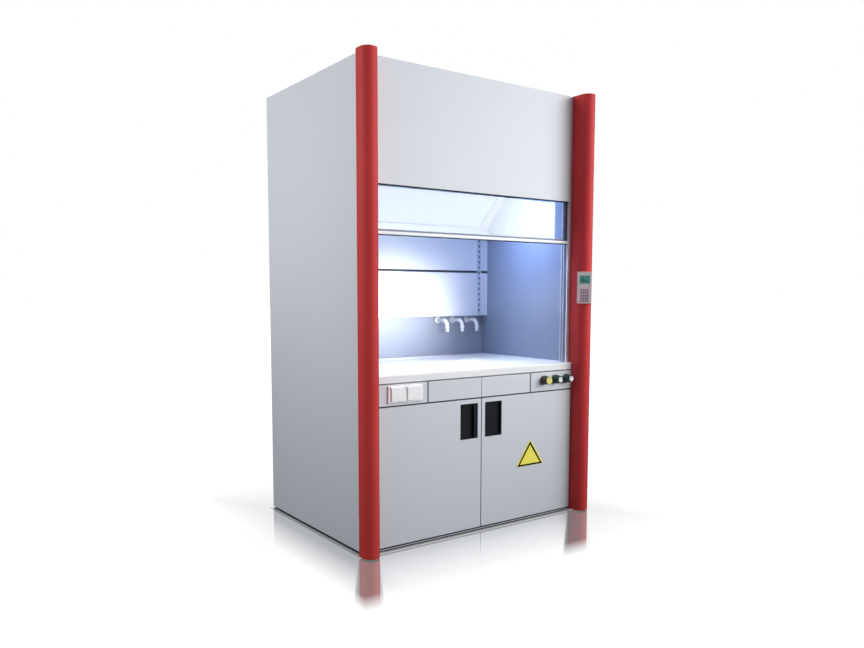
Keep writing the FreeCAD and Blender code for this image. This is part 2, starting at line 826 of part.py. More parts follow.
def make_valves():
    """Valve bodies behind the fascia with spindles through it, and the knobs on them."""
    valves = []
    for step in (-1, 0, 1):
        x = knob_x + knob_pitch * step
        shaft = knob_back - knob_bore_depth + spindle_play
        valves.append(fuse(
            cylinder(valve_radius, valve_length, Y_AXIS, x, fascia_back, knob_z),
            cylinder(spindle_radius, fascia_back + valve_seat - shaft, Y_AXIS, x, shaft,
                     knob_z)))
    node(group(*valves), "valve_bodies")
    for step, name in ((-1, "1"), (0, "2"), (1, "3")):
        x = knob_x + knob_pitch * step
        node(make_knob(x), f"knob_{name}")
        radius = cap_wide if step < 0 else cap_narrow
        node(cylinder(radius, cap_thickness, Y_AXIS, x,
                      knob_back - knob_length - cap_thickness, knob_z), f"knob_cap_{name}")


def make_knob(x):
    """A turned knob with grip flutes and a blind bore."""
    body = new_body("knob")
    bore = spindle_radius + spindle_clearance
    shoulder = knob_length / 4
    turned(body, [(bore, 0), (knob_radius, 0), (knob_radius, shoulder),
                  (knob_nose, knob_length), (0, knob_length), (0, knob_bore_depth),
                  (bore, knob_bore_depth)])
    flute = disc(body, "XY_Plane", knob_radius + knob_flute / 2, 0, knob_flute, shoulder)
    cutter = pocket(body, flute, knob_length)
    pattern = body.newObject("PartDesign::PolarPattern", "flutes")
    pattern.Originals = [cutter]
    pattern.Axis = ([item for item in body.Origin.OriginFeatures if item.Role == "Z_Axis"][0],
                    [""])
    pattern.Angle = 360
    pattern.Occurrences = 6
    body.Tip = pattern
    body.Placement.Rotation = FreeCAD.Rotation(X_AXIS, 90)
    return move(body, x, knob_back, knob_z)


def make_chamber():
    """Liners, ceiling with its duct hole and lamp window, and the lamp."""
    side = block((chamber_half, chamber_half + liner_thickness),
                 (column_back + liner_play, liner_back_y + liner_thickness),
                 (worktop_top, ceiling_z))
    node(side, "liner_right")
    node(mirrored(side), "liner_left")
    node(block(both_sides(chamber_half), (liner_back_y, liner_back_y + liner_thickness),
               (worktop_top, ceiling_z)), "liner_back")
    ceiling = block(both_sides(chamber_half + liner_thickness),
                    (rear_strip + strip_thickness + liner_play,
                     liner_back_y + liner_thickness),
                    (ceiling_z, ceiling_z + liner_thickness))
    hole = cylinder(spigot_radius + spigot_gap, liner_thickness + 2, Z_AXIS,
                    0, spigot_y, ceiling_z - 1)
    half_lamp = (lamp_half, lamp_width / 2)
    window = block(both_sides(half_lamp[0]), (lamp_y - half_lamp[1], lamp_y + half_lamp[1]),
                   (ceiling_z - 1, ceiling_z + liner_thickness + 1))
    node(cut(ceiling, hole, window), "chamber_ceiling")
    diffuser = block(both_sides(half_lamp[0] - lamp_gap),
                     (lamp_y - half_lamp[1] + lamp_gap, lamp_y + half_lamp[1] - lamp_gap),
                     (ceiling_z - lamp_gap, ceiling_z + liner_thickness))
    housing = block(both_sides(half_lamp[0] + lamp_seat),
                    (lamp_y - half_lamp[1] - lamp_seat, lamp_y + half_lamp[1] + lamp_seat),
                    (ceiling_z + liner_thickness, ceiling_z + lamp_height))
    node(fuse(diffuser, housing), "lamp_unit")


def make_baffles():
    """The baffle in front of the rear wall: two upright panels and a sloping one."""
    wide = both_sides(chamber_half)
    depth = (baffle_y, baffle_y + baffle_thickness)
    gap = baffle_gap / 2
    slot = baffle_slot / 2
    node(block(wide, depth, (baffle_foot, baffle_joint - slot)), "baffle_middle")
    node(block(wide, depth, (baffle_joint + slot, baffle_kink - gap)), "baffle_upper")
    slope = new_body("slope")
    low = baffle_kink + gap
    pad(slope, outline(slope, "YZ_Plane", [
        (baffle_y, low), (baffle_y + baffle_thickness, low),
        (baffle_y + baffle_thickness - slope_reach, low + slope_rise),
        (baffle_y - slope_reach, low + slope_rise)], -chamber_half), chamber_half * 2)
    node(slope, "baffle_slope")
    upright = make_upright(baffle_kink - baffle_foot)
    move(upright, 0, baffle_y, baffle_foot)
    leaning = make_upright(slope_rail)
    lean = math.degrees(math.atan2(number(slope_reach), number(slope_rise)))
    leaning.Placement.Rotation = FreeCAD.Rotation(X_AXIS, lean)
    move(leaning, 0, baffle_y, low)
    node(group(upright, mirrored(upright), leaning, mirrored(leaning)), "baffle_uprights")


def make_upright(length):
    """A slotted rail for lattice rods, standing on its lower end."""
    body = new_body("upright")
    half = upright_width / 2
    start = upright_thickness
    pad(body, rectangle(body, "XZ_Plane", (upright_x - half, upright_x + half),
                        (start, length), 0), upright_thickness)
    half_slot = slot_width / 2
    first = start + slot_height
    slot = pocket(body, rectangle(body, "XZ_Plane",
                                  (upright_x - half_slot, upright_x + half_slot),
                                  (first, first + slot_height), 0),
                  upright_thickness + 1)
    rows = int((number(length) - number(first)) // number(slot_pitch))
    pattern = body.newObject("PartDesign::LinearPattern", "slots")
    pattern.Originals = [slot]
    pattern.Direction = ([item for item in body.Origin.OriginFeatures
                          if item.Role == "Z_Axis"][0], [""])
    bind(pattern, "Length", slot_pitch * (rows - 1))
    pattern.Occurrences = rows
    body.Tip = pattern
    return body


def make_outlets():
    """Three gooseneck outlets on the rear wall."""
    outlets = []
    for step in (-1, 0, 1):
        x = outlet_x + outlet_pitch * step
        bend_y = liner_back_y - outlet_reach
        tip_y = bend_y - outlet_bend
        low = outlet_z - outlet_bend
        elbow = doc.addObject("Part::Torus", "elbow")
        bind(elbow, "Radius1", outlet_bend)
        bind(elbow, "Radius2", outlet_tube)
        elbow.Angle3 = 90
        elbow.Placement.Rotation = FreeCAD.Rotation(Z_AXIS, -Y_AXIS, X_AXIS, "XYZ")
        move(elbow, x, bend_y, low)
        outlets.append(fuse(
            cylinder(outlet_tube, outlet_reach, Y_AXIS, x, bend_y, outlet_z),
            cylinder(outlet_flange, outlet_tube, Y_AXIS, x, liner_back_y - outlet_tube,
                     outlet_z),
            elbow,
            move(make_hose_nozzle(), x, tip_y, low)))
    node(group(*outlets), "outlets")


def make_hose_nozzle():
    """A collar with three barbs below it, hanging from its upper face."""
    body = new_body("nozzle")
    neck = outlet_barb - barb_depth
    points = [(0, 0), (outlet_collar, 0), (outlet_collar, -outlet_collar_height)]
    for barb in range(3):
        high = -outlet_collar_height - outlet_barb_height * barb
        points += [(outlet_barb, high), (neck, high - outlet_barb_height)]
    points += [(0, high - outlet_barb_height)]
    turned(body, points)
    return body


def framed(half, y, z, opening, glass_y):
    """A frame around an opening with a groove for its glass."""
    outer = block(both_sides(half), y, z)
    inner = block(both_sides(opening[0]), (y[0] - 1, y[1] + 1), opening[1])
    bite = glass_bite + glass_gap
    groove = block(both_sides(opening[0] + bite),
                   (glass_y - glass_gap, glass_y + glass_thickness + glass_gap),
                   (opening[1][0] - bite, opening[1][1] + bite))
    return cut(outer, inner, groove)


def pane(opening, glass_y):
    """The glass of a framed opening."""
    return block(both_sides(opening[0] + glass_bite), (glass_y, glass_y + glass_thickness),
                 (opening[1][0] - glass_bite, opening[1][1] + glass_bite))


def make_sash():
    """The lower leaf with its grip rail, and the upper leaf that follows it."""
    rail_top = leaf_bottom + grip_height
    opening = (leaf_half - stile_width, (rail_top + glass_bite, leaf_top - top_rail))
    node(framed(leaf_half, (leaf_front, leaf_back), (rail_top, leaf_top), opening,
                glass_front), "sash_frame")
    node(pane(opening, glass_front), "sash_glass")
    make_grip(rail_top)
    low = upper_leaf_bottom
    high = upper_leaf_bottom + upper_leaf_height
    upper_opening = (leaf_half - upper_rail, (low + upper_rail, high - upper_rail))
    glass_y = upper_front + (upper_leaf_thickness - glass_thickness) / 2
    node(framed(leaf_half, (upper_front, upper_back), (low, high), upper_opening, glass_y),
         "upper_sash_frame")
    node(pane(upper_opening, glass_y), "upper_sash_glass")


def make_grip(rail_top):
    """The grip rail under the glass, reaching forward between the columns."""
    body = new_body("grip")
    pad(body, rectangle(body, "YZ_Plane", (leaf_front, leaf_back), (leaf_bottom, rail_top),
                        -leaf_half), leaf_half * 2)
    pad(body, rectangle(body, "YZ_Plane", (leaf_front - grip_reach, leaf_front),
                        (leaf_bottom, rail_top), -grip_half), grip_half * 2)
    fillet(body, grip_round, lambda edge: runs_along(edge, X_AXIS)
           and edge.CenterOfMass.y < number(leaf_front - grip_reach) + 0.1)
    node(body, "sash_handle")


def make_guides():
    """Guide strips beside the leaves, and edge profiles with seal lips on the columns."""
    x = (chamber_half - strip_width, chamber_half)
    z = (worktop_top, ceiling_z)
    middle = block(x, (strip_back - strip_thickness, strip_back), z)
    rear = block(x, (rear_strip, rear_strip + strip_thickness), z)
    node(group(middle, rear, mirrored(middle), mirrored(rear)), "guide_strips")
    lip = block((column_in - seal_overlap, column_in - seal_overlap + seal_width),
                (column_back, column_back + seal_thickness), (worktop_top, panel_bottom))
    profile = block((panel_half, column_in), (panel_front, column_back),
                    (worktop_top, case_height))
    seal = fuse(profile, lip)
    node(group(seal, mirrored(seal)), "sash_seals")


def make_brackets():
    """Arms from the lower leaf through the column slits, clamped on the belts."""
    half = bracket_thickness / 2
    z = (bracket_top - bracket_height, bracket_top)
    arm = block((leaf_half - clamp_arm, bracket_x + half),
                (leaf_back, leaf_back + bracket_thickness), z)
    leg = block((bracket_x - half, bracket_x + half),
                (rear_run + belt_thickness, leaf_back + bracket_thickness), z)
    middle = bracket_top - bracket_height / 2
    clamp = block((belt_x - clamp_width / 2, belt_x + clamp_width / 2),
                  (rear_run - clamp_depth / 2, rear_run + clamp_depth / 2),
                  (middle - clamp_height / 2, middle + clamp_height / 2))
    bracket = cut(fuse(arm, leg, clamp), belt_slot(rear_run, z))
    node(group(bracket, mirrored(bracket)), "sash_brackets")


def belt_slot(run_y, z):
    """The clearance round one run of the belt."""
    half = belt_width / 2 + belt_gap
    thick = belt_thickness / 2 + belt_gap
    return block((belt_x - half, belt_x + half), (run_y - thick, run_y + thick),
                 (z[0] - 1, z[1] + 1))


def make_weights():
    """Steel counterweights in the column noses, clamped on the other belt run."""
    top = weight_top
    low = weight_top - weight_length
    face = front + weight_setback
    half = weight_width / 2
    bar = block((column_middle - half, column_middle + half),
                (face, face + weight_thickness), (low, top))
    lug_z = (top - clamp_height, top)
    lug = block((belt_x - clamp_width / 2, belt_x + clamp_width / 2),
                (face + weight_thickness - lug_bite, front_run + lug_reach), lug_z)
    weight = cut(fuse(bar, lug), belt_slot(front_run, lug_z))
    node(group(weight, mirrored(weight)), "counterweights")


def make_belts():
    """Closed belts round a top pulley and an idler in each column."""
    outer = pulley_pitch + belt_thickness / 2
    inner = pulley_pitch - belt_thickness / 2
    x = belt_x - belt_width / 2
    loops = []
    for radius, grow in ((outer, 0), (inner, 1)):
        start = x - grow
        width = belt_width + 2 * grow
        loops.append(fuse(
            block((start, start + width), (pulley_y - radius, pulley_y + radius),
                  (pulley_low, pulley_top)),
            cylinder(radius, width, X_AXIS, start, pulley_y, pulley_low),
            cylinder(radius, width, X_AXIS, start, pulley_y, pulley_top)))
    belt = cut(loops[0], loops[1])
    node(group(belt, mirrored(belt)), "sash_belts")


def make_pulleys():
    """Flanged pulleys and idlers on fixed axles."""
    axles = []
    for height, name in ((pulley_top, "top_pulleys"), (pulley_low, "idlers")):
        wheel = make_wheel(height)
        node(group(wheel, mirrored(wheel)), name)
        axle = cylinder(axle_radius, side_out - column_in - column_wall * 2, X_AXIS,
                        column_in + column_wall, pulley_y, height)
        axles += [axle, mirrored(axle)]
    node(group(*axles), "pulley_axles")


def make_wheel(height):
    """A pulley turned with two flanges and a plain bore."""
    body = new_body("wheel")
    bore = axle_radius + axle_clearance
    rim = pulley_pitch - belt_thickness / 2 - belt_gap
    low = -belt_width / 2 - belt_gap
    high = belt_width / 2 + belt_gap
    turned(body, [(bore, low - flange_thickness), (flange_radius, low - flange_thickness),
                  (flange_radius, low), (rim, low), (rim, high), (flange_radius, high),
                  (flange_radius, high + flange_thickness), (bore, high + flange_thickness)])
    body.Placement.Rotation = FreeCAD.Rotation(Z_AXIS, X_AXIS)
    return move(body, belt_x, pulley_y, height)


def make_controller():
    """The controller box, hollowed to sit on the column nose and turned to the user."""
    half = controller_width / 2
    face = -controller_face
    box = new_body("controller")
    pad(box, rectangle(box, "XZ_Plane", both_sides(half), (0, controller_height),
                       controller_face - controller_thickness), controller_thickness)
    fillet(box, controller_round, lambda edge: runs_along(edge, Z_AXIS)
           and edge.CenterOfMass.y < number(face) + 0.1)
    pocket(box, disc(box, "XY_Plane", 0, 0, column_width / 2, 0), controller_height)
    insets = ((display_width, display_height, display_bottom, "controller_display"),
              (keypad_width, keypad_height, keypad_bottom, "controller_keypad"))
    for width, height, bottom, name in insets:
        limits = both_sides(width / 2)
        pocket(box, rectangle(box, "XZ_Plane", limits, (bottom, bottom + height),
                              controller_face - inset_depth), inset_depth)
        insert = block(limits, (face, face + inset_depth), (bottom, bottom + height))
        node(seat_on_nose(group(insert)), name)
    node(seat_on_nose(box), "controller_housing")


def seat_on_nose(thing):
    """Turn a controller piece about the axis of the right column's nose."""
    thing.Placement.Rotation = FreeCAD.Rotation(Z_AXIS, -number(controller_turn))
    return move(thing, column_middle, nose_y, controller_bottom)


def build():
    make_columns()
    make_case()
    make_base(make_feet())
    make_pivots()
    make_doors()
    make_warning_plate()
    make_worktop()
    make_fascia()
    make_sockets()
    make_valves()
    make_chamber()
    make_baffles()
    make_outlets()
    make_sash()
    make_guides()
    make_brackets()
    make_weights()
    make_belts()
    make_pulleys()
    make_controller()


def check_and_write():
    """Stop on any failed object, then write one file for each piece."""
    doc.recompute()
    for thing in doc.Objects:
        if "Invalid" in thing.State or "Error" in thing.State:
            raise RuntimeError(f"{thing.Name} ({thing.Label}) failed: {thing.State}")
    for thing in nodes:
        if thing.Shape.isNull() or not thing.Shape.isValid() or thing.Shape.Volume <= 0:
            raise RuntimeError(f"{thing.Label} has no valid solid")
    os.makedirs("parts", exist_ok=True)
    for thing in nodes:
        thing.Shape.exportStep(f"parts/{thing.Label}.step")


build()
check_and_write()
print(len(nodes), "pieces")
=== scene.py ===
import math

import bmesh
import bpy
from mathutils import Euler, Matrix, Vector


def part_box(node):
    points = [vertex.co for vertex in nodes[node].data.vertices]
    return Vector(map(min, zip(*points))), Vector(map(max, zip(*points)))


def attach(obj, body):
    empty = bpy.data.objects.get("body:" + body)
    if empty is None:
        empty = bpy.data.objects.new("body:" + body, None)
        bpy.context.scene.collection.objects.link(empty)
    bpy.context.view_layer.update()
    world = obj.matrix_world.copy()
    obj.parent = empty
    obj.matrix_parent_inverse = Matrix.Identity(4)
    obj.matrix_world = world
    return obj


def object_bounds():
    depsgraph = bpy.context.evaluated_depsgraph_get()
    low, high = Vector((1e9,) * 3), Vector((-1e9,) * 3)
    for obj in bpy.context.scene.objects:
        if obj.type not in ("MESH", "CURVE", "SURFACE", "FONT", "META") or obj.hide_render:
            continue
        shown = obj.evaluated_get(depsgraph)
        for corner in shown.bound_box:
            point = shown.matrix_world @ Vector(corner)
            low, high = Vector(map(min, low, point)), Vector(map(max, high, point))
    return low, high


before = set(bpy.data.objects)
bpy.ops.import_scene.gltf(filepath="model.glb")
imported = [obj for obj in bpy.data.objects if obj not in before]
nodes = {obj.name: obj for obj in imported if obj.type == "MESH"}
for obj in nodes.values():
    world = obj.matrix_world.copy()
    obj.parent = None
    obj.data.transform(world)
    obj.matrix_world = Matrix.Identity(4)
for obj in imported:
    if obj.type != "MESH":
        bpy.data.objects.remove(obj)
cad_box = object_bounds()
MM = 0.001


# Colours and materials

def srgb(red, green, blue):
    """Linear colour from its 0 to 255 screen values."""
    out = []
    for value in (red, green, blue):
        share = value / 255
        out.append(share / 12.92 if share <= 0.04045 else ((share + 0.055) / 1.055) ** 2.4)
    return (*out, 1.0)


def shade(colour, factor):
    """A colour made darker or lighter, never brighter than full."""
    return tuple(min(1.0, channel * factor) for channel in colour[:3]) + (1.0,)


class Look:
    """A procedural material under construction."""

    def __init__(self, name, roughness=0.5, metallic=0.0, specular=0.5):
        self.material = bpy.data.materials.new(name)
        self.material.use_nodes = True
        self.tree = self.material.node_tree
        self.shader = self.tree.nodes["Principled BSDF"]
        self.shader.inputs["Roughness"].default_value = roughness
        self.shader.inputs["Metallic"].default_value = metallic
        self.shader.inputs["Specular IOR Level"].default_value = specular
        self.where = self.add("ShaderNodeTexCoord").outputs["Object"]

    def add(self, kind, **settings):
        """A node; a setting is one of its properties or one of its sockets."""
        item = self.tree.nodes.new(kind)
        for key, value in settings.items():
            if hasattr(item, key):
                setattr(item, key, value)
            else:
                item.inputs[key].default_value = value
        return item

    def link(self, source, target):
        """Feed one socket from another."""
        self.tree.links.new(source, target)

    def math(self, operation, *values):
        """The result of a Math node whose inputs are sockets or plain numbers."""
        item = self.add("ShaderNodeMath", operation=operation)
        for place, value in zip(item.inputs, values):
            if isinstance(value, float):
                place.default_value = value
            else:
                self.link(value, place)
        return item.outputs[0]

    def stretched(self, scale):
        """Object coordinates scaled along each axis."""
        mapping = self.add("ShaderNodeMapping", Scale=scale)
        self.link(self.where, mapping.inputs["Vector"])
        return mapping.outputs["Vector"]

    def noise(self, scale, detail=3.0, stretch=None, roughness=0.5):
        """A noise factor over the object; it can be stretched along an axis."""
        texture = self.add("ShaderNodeTexNoise", Scale=scale, Detail=detail,
                           Roughness=roughness)
        self.link(self.stretched(stretch) if stretch else self.where,
                  texture.inputs["Vector"])
        return texture.outputs["Fac"]

    def shades(self, factor, colour, low, high):
        """A colour that wanders between two shades of itself."""
        item = self.add("ShaderNodeValToRGB")
        for element, place, share in zip(item.color_ramp.elements, (0.3, 0.7), (low, high)):
            element.position = place
            element.color = shade(colour, share)
        self.link(factor, item.inputs["Fac"])
        return item.outputs["Color"]

    def tone(self, factor, colour, low, high):
        """The base colour, wandering between two shades."""
        self.link(self.shades(factor, colour, low, high), self.shader.inputs["Base Color"])
        return self

    def spread(self, factor, low, high, start=0.35, end=0.65):
        """A factor stretched between two values."""
        item = self.add("ShaderNodeMapRange")
        item.inputs["From Min"].default_value = start
        item.inputs["From Max"].default_value = end
        item.inputs["To Min"].default_value = low
        item.inputs["To Max"].default_value = high
        self.link(factor, item.inputs["Value"])
        return item.outputs["Result"]

    def rough(self, factor, low, high):
        """The roughness, wandering between two values."""
        self.link(self.spread(factor, low, high), self.shader.inputs["Roughness"])
        return self

    def covered(self, keep, colour):
        """Another colour over the base colour; a factor of one keeps the base colour."""
        base = self.shader.inputs["Base Color"]
        item = self.add("ShaderNodeMix", data_type="RGBA")
        cover, kept = (socket for socket in item.inputs if socket.type == "RGBA")
        result = next(socket for socket in item.outputs if socket.type == "RGBA")
        cover.default_value = colour
        self.link(keep, item.inputs["Factor"])
        self.link(base.links[0].from_socket, kept)
        self.link(result, base)
        return self

    def axes(self, vector):
        """The X, Y and Z of a vector."""
        split = self.add("ShaderNodeSeparateXYZ")
        self.link(vector, split.inputs[0])
        return split.outputs["X"], split.outputs["Y"], split.outputs["Z"]

    def painted_edge_shade(self, colour):
        """Painted shade in another colour on the faces that do not look to the front or the
        back.
        """
        _, y, _ = self.axes(self.add("ShaderNodeTexCoord").outputs["Normal"])
        facing = self.math("ABSOLUTE", y)
        return self.covered(self.spread(facing, 0, 1, start=0.75, end=0.98), colour)

    def painted_rim_shade(self, colour):
        """Painted shade in another colour where a round form turns away."""
        away = self.add("ShaderNodeLayerWeight", Blend=0.5).outputs["Facing"]
        return self.covered(self.spread(away, 1, 0, start=0.5, end=0.95), colour)

    def bump(self, factor, strength, distance):
        """A fine relief of the surface."""
        item = self.add("ShaderNodeBump", Strength=strength, Distance=distance)
        self.link(factor, item.inputs["Height"])
        self.link(item.outputs["Normal"], self.shader.inputs["Normal"])
        return self


def board(name, colour, low=0.42, high=0.46, specular=0.35):
    """The look of a faced board, nearly even in colour and still without its grain."""
    look = Look(name, specular=specular)
    look.tone(look.noise(1.2, 2.0), colour, 0.985, 1.01)
    return look.rough(look.noise(12), low, high)


def pebbled(look):
    """The finished material of a board with a fine pebbled grain."""
    return look.bump(look.noise(900, 2.0), 0.08, 0.0003).material


def laminate(name, colour, low=0.42, high=0.46, specular=0.35):
    """Board faced with a fine pebbled laminate."""
    return pebbled(board(name, colour, low, high, specular))


def door_board(name, colour):
    """Laminate with painted shade on the board's edges, so the gaps between boards read dark.
    """
    return pebbled(board(name, colour).painted_edge_shade(shade(colour, 0.2)))


def plinth_with_painted_shade(name, colour, dark):
    """Laminate with painted shade in an upper and a lower band; only a thin middle band keeps
    its colour.
    """
    low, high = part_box("plinth_rail")
    look = board(name, colour)
    _, _, z = look.axes(look.where)
    off = look.math("SUBTRACT", z, (low.z + high.z) / 2)
    # The dark bands are painted shade of the gap under the doors and of the floor contact.
    middle = look.spread(look.math("ABSOLUTE", off), 1, 0, start=1.8 * MM, end=2.4 * MM)
    return look.covered(middle, dark).material


def column_coat(name, colour):
    """Red coat with painted shade toward the edges of the round nose."""
    look = Look(name, specular=0.12)
    look.tone(look.noise(3.0), colour, 0.95, 1.04)
    look.painted_rim_shade(shade(colour, 0.35))
    return look.rough(look.noise(60, 2.0), 0.5, 0.6).bump(
        look.noise(420, 2.0), 0.12, 0.0004).material


def powder_coat(name, colour, low=0.42, high=0.52, specular=0.4):
    """Sprayed coat with a light orange peel."""
    look = Look(name, specular=specular)
    look.tone(look.noise(3.0), colour, 0.95, 1.04)
    return look.rough(look.noise(60, 2.0), low, high).bump(
        look.noise(420, 2.0), 0.15, 0.0005).material


def moulded(name, colour, low=0.35, high=0.5, grain=1400, depth=0.15, dark=0.96,
            specular=0.45):
    """Moulded plastic with an eroded texture."""
    look = Look(name, specular=specular)
    look.tone(look.noise(25), colour, dark, 1.02)
    return look.rough(look.noise(90, 2.0), low, high).bump(
        look.noise(grain, 2.0), depth, 0.0003).material


def brushed(name, colour, stretch, low=0.25, high=0.42, metallic=1.0):
    """Metal brushed along one axis."""
    look = Look(name, metallic=metallic)
    lines = look.noise(60, 6.0, stretch=stretch, roughness=0.7)
    look.tone(lines, colour, 0.88, 1.08)
    return look.rough(lines, low, high).bump(lines, 0.08, 0.0002).material


def ceramic(name, colour):
    """Worktop with very fine speckles under a satin glaze."""
    look = Look(name, specular=0.4)
    look.tone(look.noise(1100, 2.0), colour, 0.97, 1.0)
    return look.rough(look.noise(4), 0.32, 0.38).bump(
        look.noise(700, 2.0), 0.05, 0.0002).material


def rubber(name, colour):
    """Matt black or grey rubber with a coarse grain."""
    look = Look(name, specular=0.3)
    look.tone(look.noise(120, 4.0), colour, 0.8, 1.2)
    return look.rough(look.noise(200), 0.6, 0.8).bump(
        look.noise(800), 0.2, 0.0004).material


def safety_glass(name):
    """Clear glass, very slightly uneven."""
    look = Look(name)
    look.shader.inputs["Transmission Weight"].default_value = 1.0
    look.shader.inputs["IOR"].default_value = 1.5
    look.tone(look.noise(7, 4.0), srgb(240, 248, 250), 0.97, 1.01)
    return look.rough(look.noise(14, 4.0), 0.0, 0.02).material


def glowing(name, colour, strength, low=0.9):
    """A lit diffuser or display with soft unevenness."""
    look = Look(name, roughness=0.4)
    tone = look.shades(look.noise(30), colour, low, 1.0)
    look.link(tone, look.shader.inputs["Base Color"])
    look.link(tone, look.shader.inputs["Emission Color"])
    look.shader.inputs["Emission Strength"].default_value = strength
    return look.material


def dress(material, *names):
    """Give carried nodes their only material."""
    for name in names:
        mesh = nodes[name].data
        mesh.materials.clear()
        mesh.materials.append(material)


def dress_case():
    """Boards, doors, columns and the duct collar."""
    dress(laminate("case_laminate", srgb(210, 215, 221)), "side_panel_left",
          "side_panel_right", "roof_panel", "upper_front_panel", "rear_panel")
    dress(door_board("door_laminate", srgb(212, 217, 223)), "door_left", "door_right",
          "fascia_left", "fascia_blanks", "fascia_right")
    # The plinth's dark bands are painted shade.
    dress(plinth_with_painted_shade("plinth_laminate", srgb(196, 200, 208), srgb(26, 29, 36)),
          "plinth_rail")
    dress(laminate("carcass_laminate", srgb(176, 182, 192)), "base_sides", "base_floor",
          "base_shelf")
    dress(column_coat("column_coat", srgb(203, 62, 62)), "column_left", "column_right")
    dress(powder_coat("rail_coat", srgb(30, 33, 40)), "base_top_rail")
    dress(brushed("duct_zinc", srgb(186, 190, 194), (1, 1, 0.1), 0.35, 0.5),
          "exhaust_spigot")
    dress(rubber("foot_rubber", srgb(32, 32, 34)), "levelling_feet")


def dress_chamber():
    """Liners, baffles, slotted rails, lamp, worktop and outlets."""
    # The liners are darker than the baffles' pale laminate: painted shade for the chamber
    # walls.
    dress(laminate("side_liner_painted_shade", srgb(134, 143, 164), 0.24, 0.27, 0.5), "liner_left",
          "liner_right", "chamber_ceiling")
    dress(laminate("rear_liner_painted_shade", srgb(150, 157, 173), 0.24, 0.27, 0.5), "liner_back")
    dress(laminate("baffle_white", srgb(224, 228, 240), 0.24, 0.27, 0.5), "baffle_middle",
          "baffle_upper", "baffle_slope")
    dress(powder_coat("rail_white", srgb(196, 204, 224)), "baffle_uprights")
    dress(glowing("lamp_diffuser", srgb(214, 228, 255), 3.0), "lamp_unit")
    dress(ceramic("worktop_glaze", srgb(240, 241, 243)), "worktop")
    dress(powder_coat("outlet_coat", srgb(238, 240, 243), 0.25, 0.4), "outlets")


def dress_sash():
    """Both leaves of the sash, their guides and what carries them."""
    dress(powder_coat("grip_white", srgb(236, 239, 242), 0.25, 0.35, 0.5), "sash_handle")
    dress(powder_coat("frame_slate", srgb(84, 90, 118), 0.3, 0.4, 0.5), "sash_frame",
          "upper_sash_frame")
    dress(safety_glass("sash_glass"), "sash_glass", "upper_sash_glass")
    dress(moulded("guide_plastic", srgb(218, 222, 236)), "guide_strips")
    dress(brushed("profile_grey", srgb(226, 224, 232), (1, 1, 0.05), metallic=0.1),
          "sash_seals")
    dress(brushed("bright_steel", srgb(150, 152, 156), (1, 1, 0.1)), "sash_brackets",
          "counterweights", "pulley_axles", "hinge_pivots")
    dress(moulded("pulley_plastic", srgb(52, 52, 56)), "top_pulleys", "idlers")
    dress(rubber("belt_rubber", srgb(30, 30, 32)), "sash_belts")


def dress_fittings():
    """Sockets, valves, knobs, handles, the plate and the controller."""
    dress(moulded("socket_plastic", srgb(252, 252, 253), 0.5, 0.6, specular=0.2),
          "socket_frame", "socket_flap_left", "socket_flap_right")
    dress(brushed("valve_brass", srgb(190, 160, 96), (1, 0.1, 1)), "valve_bodies")
    dress(moulded("knob_brown", srgb(62, 52, 40), dark=0.9), "knob_1")
    dress(moulded("knob_green", srgb(16, 54, 48), dark=0.9), "knob_2", "knob_3")
    dress(moulded("cap_yellow", srgb(236, 226, 136), 0.25, 0.35), "knob_cap_1")
    dress(moulded("cap_white", srgb(240, 242, 244), 0.25, 0.35), "knob_cap_2",
          "knob_cap_3")
    dress(moulded("handle_black", srgb(16, 18, 23), 0.55, 0.7, grain=1600, depth=0.3,
                  dark=0.9, specular=0.15), "handle_left", "handle_right")
    dress(moulded("plate_yellow", srgb(252, 242, 96), 0.4, 0.5), "warning_plate")
    dress(moulded("controller_shell", srgb(222, 206, 206)), "controller_housing")
    dress(glowing("display_green", srgb(66, 132, 122), 0.25, 0.85), "controller_display")
    dress(moulded("keypad_foil", srgb(150, 122, 138), 0.4, 0.55), "controller_keypad")


# Bevels on the carried pieces

def soften_edges():
    """Small bevels, so that board and sheet edges catch the light."""
    widths = {
        1.0: ("side_panel_left", "side_panel_right", "knob_cap_1", "knob_cap_2", "knob_cap_3"),
        0.8: ("rear_panel", "roof_panel", "fascia_left", "fascia_blanks", "fascia_right",
              "baffle_middle", "baffle_upper", "baffle_slope", "base_shelf", "socket_frame",
              "socket_flap_left", "socket_flap_right", "plinth_rail"),
        0.6: ("column_left", "column_right", "sash_frame", "upper_sash_frame", "sash_seals"),
        0.5: ("base_sides", "base_floor", "guide_strips"),
        0.3: ("baffle_uprights", "controller_keypad", "controller_display")}
    for width, names in widths.items():
        for name in names:
            bevel = nodes[name].modifiers.new("soft edge", "BEVEL")
            bevel.width = width * MM
            bevel.segments = 2
            bevel.limit_method = "ANGLE"
            bevel.angle_limit = math.radians(40)
            bevel.harden_normals = True


# Mesh tools for the added trim

def finished(name, shape, material, body):
    """Make an object of a bmesh and let it ride on a body."""
    bmesh.ops.recalc_face_normals(shape, faces=shape.faces)
    mesh = bpy.data.meshes.new(name)
    shape.to_mesh(mesh)
    shape.free()
    mesh.materials.append(material)
    piece = bpy.data.objects.new(name, mesh)
    bpy.context.scene.collection.objects.link(piece)
    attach(piece, body)
    return piece


def wrap(shape, first, second):
    """Faces between two closed rows of as many vertices."""
    count = len(first)
    for index in range(count):
        after = (index + 1) % count
        shape.faces.new((first[index], first[after], second[after], second[index]))


def prism(shape, outline, lift):
    """Raise a flat outline by a vector and close it."""
    low = [shape.verts.new(point) for point in outline]
    high = [shape.verts.new(Vector(point) + lift) for point in outline]
    shape.faces.new(low)
    shape.faces.new(reversed(high))
    wrap(shape, low, high)


